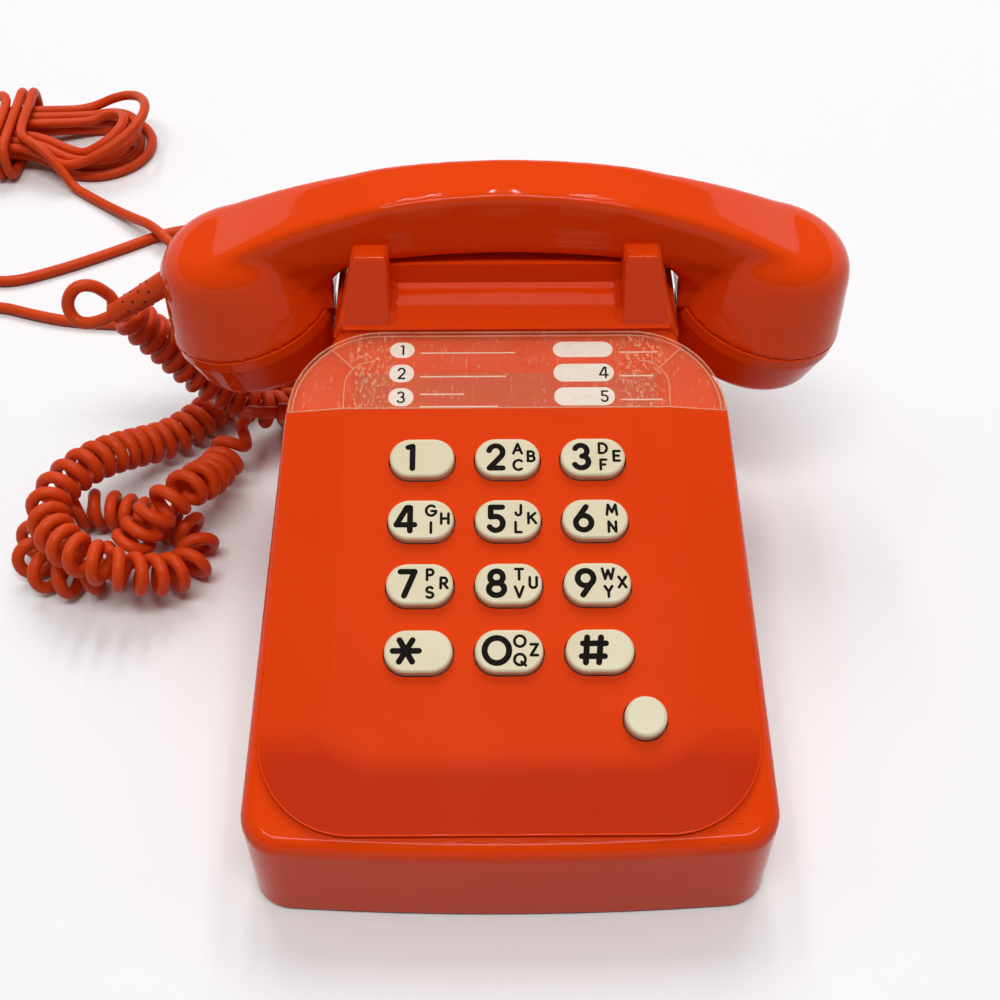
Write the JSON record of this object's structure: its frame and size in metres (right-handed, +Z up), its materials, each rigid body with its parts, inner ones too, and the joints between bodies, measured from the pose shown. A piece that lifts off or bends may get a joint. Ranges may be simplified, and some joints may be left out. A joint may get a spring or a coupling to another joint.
{
  "type": "cradle push-button telephone",
  "caption": "Desk telephone with a sloped push-button panel, an arched handset resting across a cradle, a curly handset cord and a tied hank of line cord.",
  "frame": {"origin": "on the table under the middle of the telephone's box, cords left out", "axes": "+X to the right along the handset, +Y to the back, +Z up"},
  "size_m": [0.4417, 0.4231, 0.128],
  "materials": {
    "orange_gloss": "glossy moulded orange plastic",
    "orange_satin": "satin moulded orange plastic",
    "clear_window": "clear plastic",
    "label_paper": "printed card",
    "ivory": "semi-gloss ivory plastic with dark print",
    "black_plastic": "black plastic",
    "mat_rubber": "grey rubber",
    "foot_rubber": "black rubber",
    "green_board": "laminate board",
    "zinc_steel": "zinc plated steel",
    "core_iron": "laminated core",
    "copper": "enamelled winding",
    "gong_brass": "plated bell metal",
    "capsule_metal": "pressed metal capsule",
    "orange_cord": "soft orange cord sheath",
    "plug_plastic": "off-white plastic",
    "contact_brass": "plated blades"
  },
  "bodies": {
    "base": {"housing": "orange_gloss", "front_panel": "orange_satin", "label_window": "clear_window", "label_card": "label_paper", "keypad_frame": "black_plastic", "keypad_mat": "mat_rubber", "keypad_board": "green_board", "base_plate": "zinc_steel", "feet": "foot_rubber", "base_screws": "zinc_steel", "main_board": "green_board", "speech_transformer": "core_iron", "terminal_block": "black_plastic", "ringer_frame": "zinc_steel", "ringer_coil": "copper", "gong_right": "gong_brass", "gong_left": "gong_brass", "gong_screws": "zinc_steel", "hook_bracket": "zinc_steel", "hook_switch": "black_plastic", "hook_spring": "zinc_steel", "body_gland": "orange_cord", "line_gland": "orange_cord", "curly_cord": "orange_cord", "line_cord": "orange_cord", "line_hank": "orange_cord", "plug_body": "plug_plastic", "plug_contacts": "contact_brass"},
    "handset": {"handset_handle": "orange_gloss", "mouth_cap": "orange_gloss", "ear_cap": "orange_gloss", "transmitter_capsule": "capsule_metal", "receiver_capsule": "capsule_metal", "handset_relief": "orange_cord"},
    "hook": {"hook_bar": "black_plastic", "hook_plunger_right": "clear_window", "hook_plunger_left": "clear_window"},
    "clapper": {"clapper": "zinc_steel"},
    "recall": {"recall_button": "ivory"},
    "key_1_body": {"key_1": "ivory"},
    "key_2_body": {"key_2": "ivory"},
    "key_3_body": {"key_3": "ivory"},
    "key_4_body": {"key_4": "ivory"},
    "key_5_body": {"key_5": "ivory"},
    "key_6_body": {"key_6": "ivory"},
    "key_7_body": {"key_7": "ivory"},
    "key_8_body": {"key_8": "ivory"},
    "key_9_body": {"key_9": "ivory"},
    "key_star_body": {"key_star": "ivory"},
    "key_0_body": {"key_0": "ivory"},
    "key_hash_body": {"key_hash": "ivory"}
  },
  "joints": [
    {"name": "key_1_press", "type": "slide", "parent": "base", "child": "key_1_body", "axis": [0, 0.3024, -0.9532], "range_m": [0, 0.003], "stiffness_N_per_m": 250, "springref_m": -0.002},
    {"name": "key_2_press", "type": "slide", "parent": "base", "child": "key_2_body", "axis": [0, 0.3024, -0.9532], "range_m": [0, 0.003], "stiffness_N_per_m": 250, "springref_m": -0.002},
    {"name": "key_3_press", "type": "slide", "parent": "base", "child": "key_3_body", "axis": [0, 0.3024, -0.9532], "range_m": [0, 0.003], "stiffness_N_per_m": 250, "springref_m": -0.002},
    {"name": "key_4_press", "type": "slide", "parent": "base", "child": "key_4_body", "axis": [0, 0.3024, -0.9532], "range_m": [0, 0.003], "stiffness_N_per_m": 250, "springref_m": -0.002},
    {"name": "key_5_press", "type": "slide", "parent": "base", "child": "key_5_body", "axis": [0, 0.3024, -0.9532], "range_m": [0, 0.003], "stiffness_N_per_m": 250, "springref_m": -0.002},
    {"name": "key_6_press", "type": "slide", "parent": "base", "child": "key_6_body", "axis": [0, 0.3024, -0.9532], "range_m": [0, 0.003], "stiffness_N_per_m": 250, "springref_m": -0.002},
    {"name": "key_7_press", "type": "slide", "parent": "base", "child": "key_7_body", "axis": [0, 0.3024, -0.9532], "range_m": [0, 0.003], "stiffness_N_per_m": 250, "springref_m": -0.002},
    {"name": "key_8_press", "type": "slide", "parent": "base", "child": "key_8_body", "axis": [0, 0.3024, -0.9532], "range_m": [0, 0.003], "stiffness_N_per_m": 250, "springref_m": -0.002},
    {"name": "key_9_press", "type": "slide", "parent": "base", "child": "key_9_body", "axis": [0, 0.3024, -0.9532], "range_m": [0, 0.003], "stiffness_N_per_m": 250, "springref_m": -0.002},
    {"name": "key_star_press", "type": "slide", "parent": "base", "child": "key_star_body", "axis": [0, 0.3024, -0.9532], "range_m": [0, 0.003], "stiffness_N_per_m": 250, "springref_m": -0.002},
    {"name": "key_0_press", "type": "slide", "parent": "base", "child": "key_0_body", "axis": [0, 0.3024, -0.9532], "range_m": [0, 0.003], "stiffness_N_per_m": 250, "springref_m": -0.002},
    {"name": "key_hash_press", "type": "slide", "parent": "base", "child": "key_hash_body", "axis": [0, 0.3024, -0.9532], "range_m": [0, 0.003], "stiffness_N_per_m": 250, "springref_m": -0.002},
    {"name": "recall_press", "type": "slide", "parent": "base", "child": "recall", "axis": [0, 0.3024, -0.9532], "range_m": [0, 0.003], "stiffness_N_per_m": 250, "springref_m": -0.002},
    {"name": "handset_lift", "type": "slide", "parent": "base", "child": "handset", "axis": [0, 0, 1], "range_m": [0, 0.06]},
    {"name": "hook_slide", "type": "slide", "parent": "base", "child": "hook", "axis": [0, 0, 1], "range_m": [0, 0.004], "stiffness_N_per_m": 150, "springref_m": 0.006, "deforming": ["hook_spring"]},
    {"name": "clapper_swing", "type": "hinge", "parent": "base", "child": "clapper", "pos_m": [0, 0.01, 0.0266], "axis": [0, 0, 1], "range_deg": [-2.5, 2.5], "stiffness_Nm_per_rad": 0.002}
  ],
  "couplings": [
    {"joint": "hook_slide", "follows": "handset_lift", "ratio": 0.0666}
  ]
}
